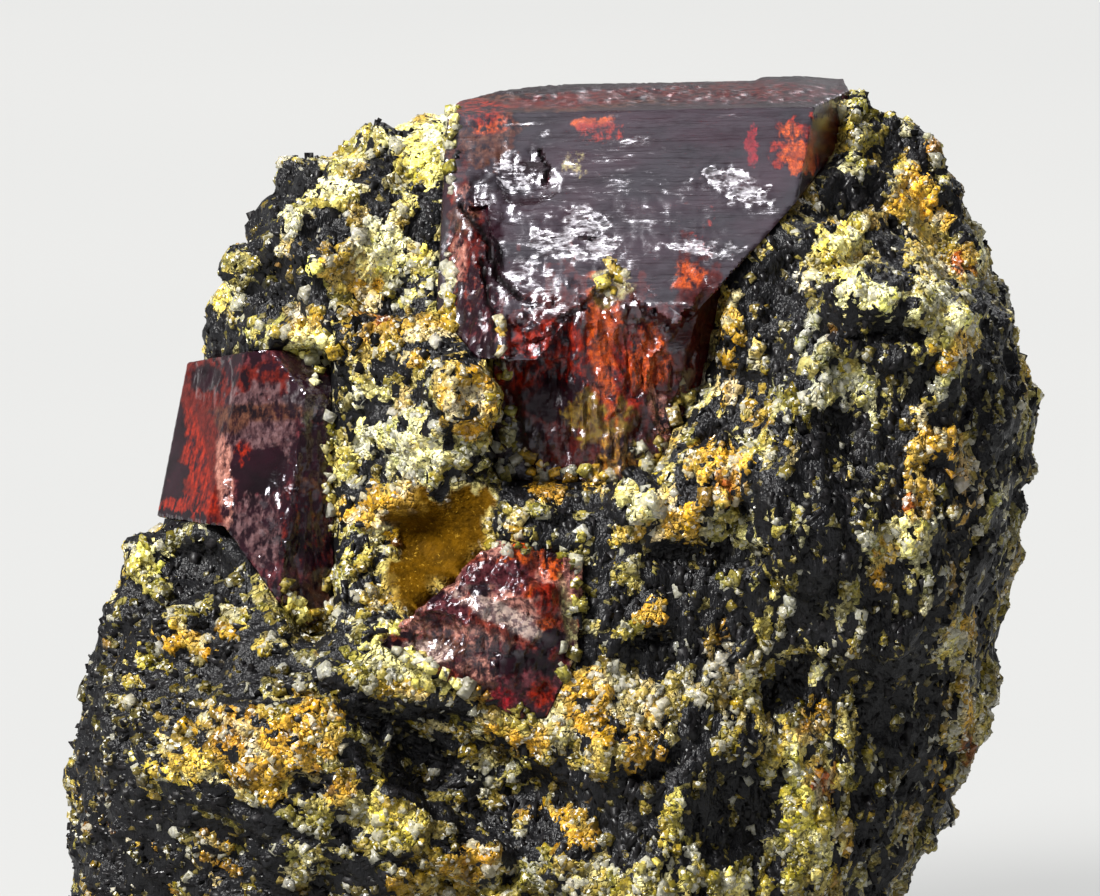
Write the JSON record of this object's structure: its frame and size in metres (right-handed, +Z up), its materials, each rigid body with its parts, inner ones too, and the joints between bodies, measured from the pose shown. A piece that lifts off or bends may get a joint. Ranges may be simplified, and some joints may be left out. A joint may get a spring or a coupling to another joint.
{
  "type": "zircon crystals in gneiss matrix",
  "caption": "Free-standing mineral specimen: dark red zircon crystals set in a lump of banded, iron-stained gneiss.",
  "frame": {"origin": "middle of the bounding box, on the flat cut that the specimen rests on", "axes": "+Z up; -Y is the side that the display face looks to; +X to the right of someone who looks at that face"},
  "size_m": [0.0488, 0.0354, 0.049],
  "materials": {
    "gneiss": "rough broken rock",
    "zircon": "glassy crystal, chipped"
  },
  "bodies": {
    "root": {"matrix": "gneiss", "zircon_large": "zircon", "zircon_left": "zircon", "zircon_broken": "zircon"}
  },
  "joints": []
}
